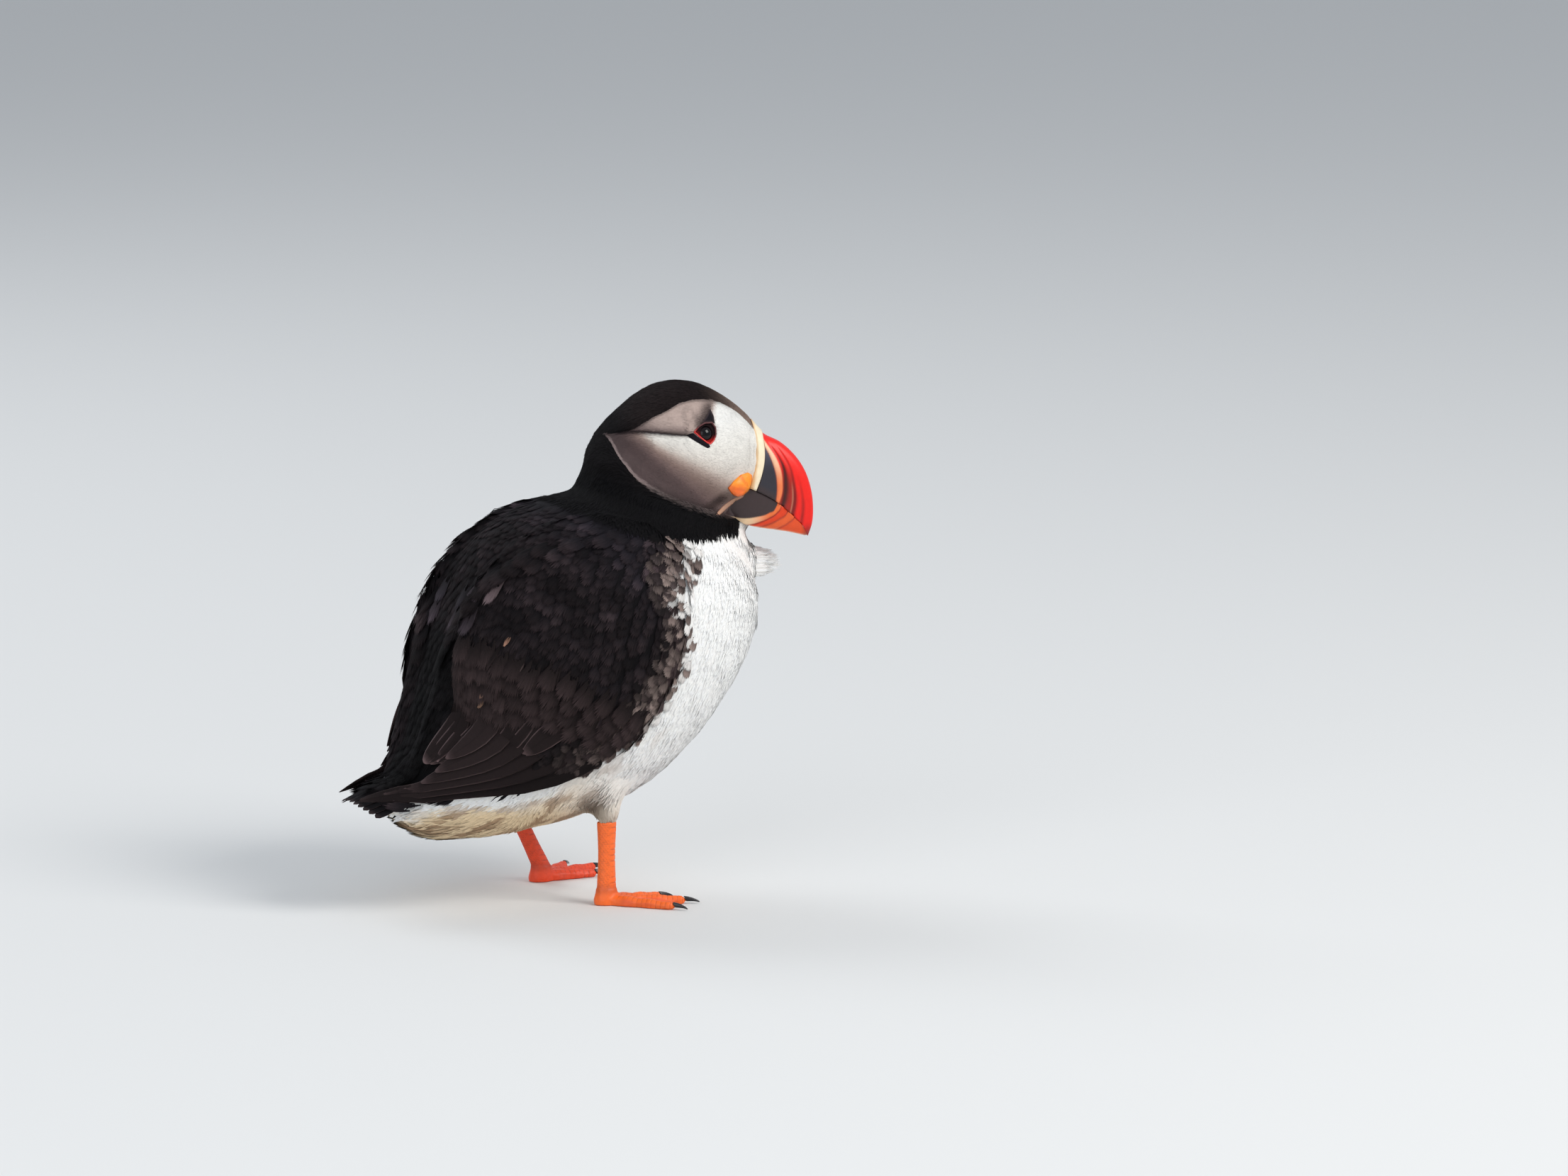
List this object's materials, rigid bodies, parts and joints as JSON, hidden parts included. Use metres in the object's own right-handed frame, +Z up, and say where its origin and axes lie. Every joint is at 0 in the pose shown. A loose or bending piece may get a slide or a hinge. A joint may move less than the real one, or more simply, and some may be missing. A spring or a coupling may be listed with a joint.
{
  "type": "atlantic puffin, still model",
  "caption": "Life-size still model of a standing atlantic puffin in summer plumage, head turned a little to its right, on two webbed feet.",
  "frame": {"origin": "middle of the whole bird's box, on the floor that it stands on", "axes": "+X ahead of the trunk, +Y to the bird's left, +Z up; the head is turned 20 degrees towards -Y"},
  "size_m": [0.1838, 0.1044, 0.1939],
  "materials": {
    "black_plumage": "soft overlapping feathers, brown-black",
    "flight_feathers": "long smooth feather vanes, dark brown",
    "white_plumage": "dense soft white feathers",
    "leg_skin": "scaly orange skin, satin",
    "claw_horn": "black horn",
    "pale_band": "pitted cream horn",
    "bill_horn": "grooved horn, satin",
    "gape_skin": "wrinkled orange skin",
    "eye": "wet, glossy",
    "eye_plate": "blue-grey horn"
  },
  "bodies": {
    "root": {"head": "black_plumage", "neck": "black_plumage", "mantle": "black_plumage", "wing_left": "black_plumage", "wing_right": "black_plumage", "wing_tip_left": "flight_feathers", "wing_tip_right": "flight_feathers", "tail": "flight_feathers", "trunk": "white_plumage", "face_left": "white_plumage", "face_right": "white_plumage", "thigh_left": "white_plumage", "thigh_right": "white_plumage", "leg_left": "leg_skin", "leg_right": "leg_skin", "foot_left": "leg_skin", "foot_right": "leg_skin", "claw_left_inner": "claw_horn", "claw_left_middle": "claw_horn", "claw_left_outer": "claw_horn", "claw_right_inner": "claw_horn", "claw_right_middle": "claw_horn", "claw_right_outer": "claw_horn", "cere": "pale_band", "upper_bill": "bill_horn", "lower_bill": "bill_horn", "gape_rosette_left": "gape_skin", "gape_rosette_right": "gape_skin", "eye_left": "eye", "eye_right": "eye", "eye_plate_upper_left": "eye_plate", "eye_plate_upper_right": "eye_plate", "eye_plate_lower_left": "eye_plate", "eye_plate_lower_right": "eye_plate"}
  },
  "joints": []
}
